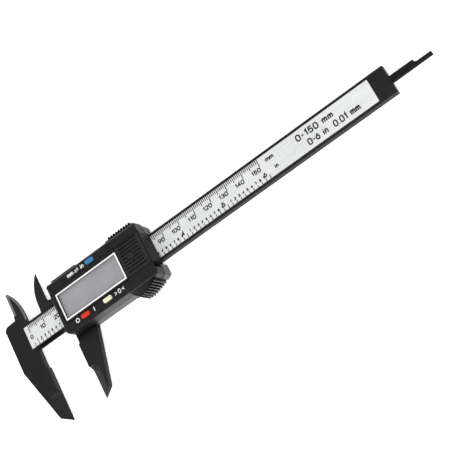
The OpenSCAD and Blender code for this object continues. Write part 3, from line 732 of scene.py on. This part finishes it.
def print_digits():
    """Every tenth millimetre line, every inch and, smaller, every tenth of an inch has its number."""
    digits = Print(label_hi[Z])
    dx, y = NOUGHT_AT
    digits.glyphs("0", ZERO_X + dx, y, MM_NOUGHT, "centre")
    dx, y = MM_DIGITS_AT
    for i in range(10, LAST_MM + 1, 10):
        digits.glyphs(str(i), ZERO_X + i + dx, y, MM_DIGITS, "right")
    make_beam_print(digits, "scale_digits_mm")

    inches = Print(label_hi[Z])
    for i in range(1, LAST_TENTH + 1):
        whole, tenths = divmod(i, 10)
        dx, y = TENTH_DIGITS_AT if tenths else INCH_DIGITS_AT
        letters = TENTH_DIGITS if tenths else INCH_DIGITS
        inches.glyphs(str(tenths or whole), ZERO_X + i * INCH / 10 + dx, y, letters, "centre")
    make_beam_print(inches, "scale_digits_inch")


def print_marks():
    """The two scales' units, and the measuring range and resolution towards the beam's end."""
    units = Print(label_hi[Z])
    units.glyphs("mm", *MM_MARK_AT, MM_MARK)
    units.glyphs("in", *INCH_MARK_AT, INCH_MARK)
    make_beam_print(units, "scale_unit_marks")

    rating = Print(label_hi[Z])
    rating.glyphs("0-150 mm", *RANGE_TOP_AT, RANGE_TOP_ROW)
    rating.glyphs("0-6 in  0.01 mm", *RANGE_LOW_AT, RANGE_LOW_ROW)
    make_beam_print(rating, "range_marks")


# ---------- print on the display head ----------

FRAME_X = (25.53, 65.31)
FRAME_Y = (-8.02, 7.14)
FRAME_WIDTH = 0.78
MARGIN_INSET = 0.05
MARGIN_CORNER = 0.012
SQUARE_CORNER = 0.0002

UNITS_MARK_Y = 10.55
HEAD_MM_X = 36.3
ARROWS_X = 42.3
ARROW_HALF = 1.2
ARROW_TIP = 1.25
ARROW_BARB = 0.6
ARROW_WIDTH = 0.3
# the way an arrow points, and its height above the base line
ARROWS = ((1, 1.25), (-1, 0.55))
HEAD_INCH_X = 45.0

OFF_X = 31.2
OFF_RADIUS = 1.0
OFF_WIDTH = 0.42
ON_X = 42.2
ON_HALF = 1.1
ON_WIDTH = 0.48

ZERO_MARK_X = 58.7
ZERO_ARROW_X = (1.8, 3.0)
ZERO_ARROW_HALF = 0.7
ZERO_ARROW_WIDTH = 0.34


def print_window_frame():
    """The white line round the display, and the black margin between it and the window's edge."""
    x0, x1 = FRAME_X
    y0, y1 = FRAME_Y
    w = FRAME_WIDTH
    outer = [(x0, y0), (x1, y0), (x1, y1), (x0, y1)]
    inner = [(x0 + w, y0 + w), (x1 - w, y0 + w), (x1 - w, y1 - w), (x0 + w, y1 - w)]
    outline = Print(window_hi[Z])
    outline.ring(outer, inner, True)
    outline.make("window_outline", white_ink, "slider", "white_plastic")

    inset = MARGIN_INSET
    margin = Print(window_hi[Z])
    margin.ring(loop(window_lo[X] + inset, window_hi[X] - inset,
                     window_lo[Y] + inset, window_hi[Y] - inset, MARGIN_CORNER),
                loop(x0, x1, y0, y1, SQUARE_CORNER), True)
    margin.make("window_margin", black_margin, "slider", "black_plastic")


def units_marks(marks):
    """Millimetres, an arrow each way and inches."""
    marks.glyphs("mm", HEAD_MM_X, UNITS_MARK_Y, HEAD_MM_MARK)
    for way, rise in ARROWS:
        y = UNITS_MARK_Y + rise
        marks.stroke([(ARROWS_X - ARROW_HALF, y), (ARROWS_X + ARROW_HALF, y)], ARROW_WIDTH)
        barb = (ARROWS_X + way * ARROW_BARB, y + way * ARROW_BARB)
        marks.stroke([barb, (ARROWS_X + way * ARROW_TIP, y)], ARROW_WIDTH)
    marks.glyphs("in", HEAD_INCH_X, UNITS_MARK_Y, HEAD_INCH_MARK)


def power_marks(marks):
    """A ring for off and a bar for on."""
    y = middle_y("button_power")
    marks.stroke(curve(OFF_X, y, OFF_RADIUS, OFF_RADIUS, 0, 345, 23), OFF_WIDTH, True)
    marks.stroke([(ON_X, y - ON_HALF), (ON_X, y + ON_HALF)], ON_WIDTH)


def zero_marks(marks):
    """A nought between two arrowheads that point at it."""
    y = middle_y("button_zero")
    marks.glyphs("0", ZERO_MARK_X, y - HEAD_NOUGHT[0] / 2, HEAD_NOUGHT, "centre")
    tip, tail = ZERO_ARROW_X
    half = ZERO_ARROW_HALF
    for side in (-1, 1):
        back = ZERO_MARK_X + side * tail
        marks.stroke([(back, y + half), (ZERO_MARK_X + side * tip, y), (back, y - half)], ZERO_ARROW_WIDTH)


def print_head_symbols():
    marks = Print(cover_front)
    units_marks(marks)
    power_marks(marks)
    zero_marks(marks)
    marks.make("head_symbols", white_ink, "slider", "white_plastic")


print_lines()
print_digits()
print_marks()
print_window_frame()
print_head_symbols()


# ---------- floor, light, camera ----------

FLOOR_HALF = 3.0
SKY_STRENGTH = 0.25
LIT_POINT = (0.1, 0, 0)
# light: place, size and power
LIGHTS = {
    "key": ((0.55, -0.75, 1.1), 0.9, 16),
    "fill": ((-0.9, -0.35, 0.9), 1.0, 7),
    "back": ((0.7, 0.9, 0.9), 0.8, 6),
}


def floor_material():
    """Bright white paper that lights the caliper a little from below."""
    n = Nodes("floor")
    mottle = n.noise(30, 2.0, 0.5)
    tone = n.mix(n.ramp(mottle, 0.3, 0.7, 0, 1), grey(0.93), grey(0.95))
    return n.finish(Base_Color=tone, Roughness=0.8, Emission_Color=grey(1.0), Emission_Strength=0.45)


def make_floor():
    mesh = bpy.data.meshes.new("floor")
    z = ground_z * MM
    s = FLOOR_HALF
    mesh.from_pydata([(-s, -s, z), (s, -s, z), (s, s, z), (-s, s, z)], [], [(0, 1, 2, 3)])
    mesh.materials.append(floor_material())
    floor = bpy.data.objects.new("floor", mesh)
    bpy.context.scene.collection.objects.link(floor)


def area_light(name, place, size, power):
    data = bpy.data.lights.new(name, "AREA")
    data.shape = "DISK"
    data.size = size
    data.energy = power
    obj = bpy.data.objects.new(name, data)
    bpy.context.scene.collection.objects.link(obj)
    obj.location = place
    obj.rotation_mode = "QUATERNION"
    obj.rotation_quaternion = (Vector(LIT_POINT) - Vector(place)).to_track_quat("-Z", "Y")


def light_scene():
    scene = bpy.context.scene
    scene.view_settings.view_transform = "Standard"
    world = bpy.data.worlds.new("studio")
    scene.world = world
    world.use_nodes = True
    back = world.node_tree.nodes.get("Background")
    back.inputs["Color"].default_value = grey(1.0)
    back.inputs["Strength"].default_value = SKY_STRENGTH
    for name, (place, size, power) in LIGHTS.items():
        area_light(name, place, size, power)


make_floor()
light_scene()
make_camera()
